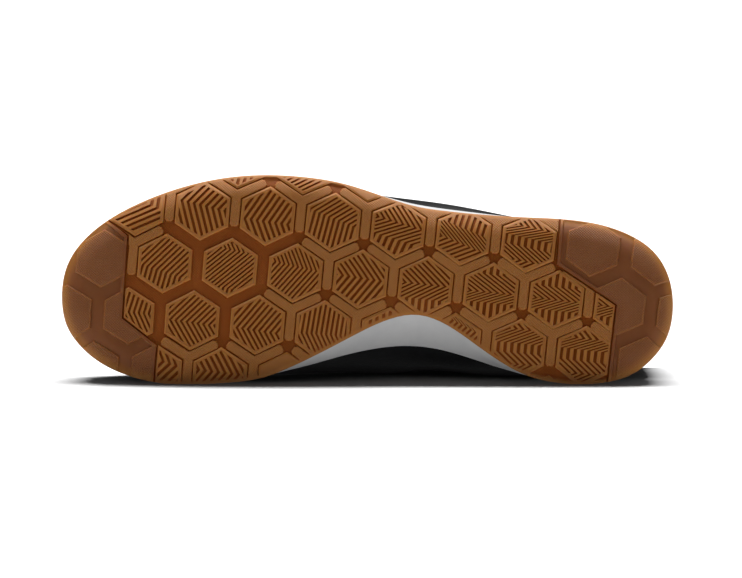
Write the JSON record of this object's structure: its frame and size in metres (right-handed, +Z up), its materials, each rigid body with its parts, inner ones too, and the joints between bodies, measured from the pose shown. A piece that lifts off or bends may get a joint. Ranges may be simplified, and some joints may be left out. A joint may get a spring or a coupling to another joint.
{
  "type": "sneaker",
  "caption": "Low-top left sneaker lying on its inner side, with a gum rubber outsole of hexagon lugs, a white midsole and a hollow black upper.",
  "frame": {"origin": "centre of the bounding box's bottom, on the floor the shoe lies on", "axes": "toe to -X, heel to +X, sole facing -Y, outer side of the shoe up along +Z"},
  "size_m": [0.2982, 0.123, 0.0999],
  "materials": {
    "outsole": "satin gum rubber",
    "midsole": "matt white foam",
    "upper": "black, soft sheen",
    "insole": "matt textile",
    "tongue": "padded textile",
    "lace": "flat woven lace"
  },
  "bodies": {
    "root": {"outsole": "outsole", "midsole": "midsole", "upper": "upper", "insole": "insole", "tongue": "tongue", "lace_1": "lace", "lace_2": "lace", "lace_3": "lace", "lace_4": "lace", "lace_5": "lace"}
  },
  "joints": []
}
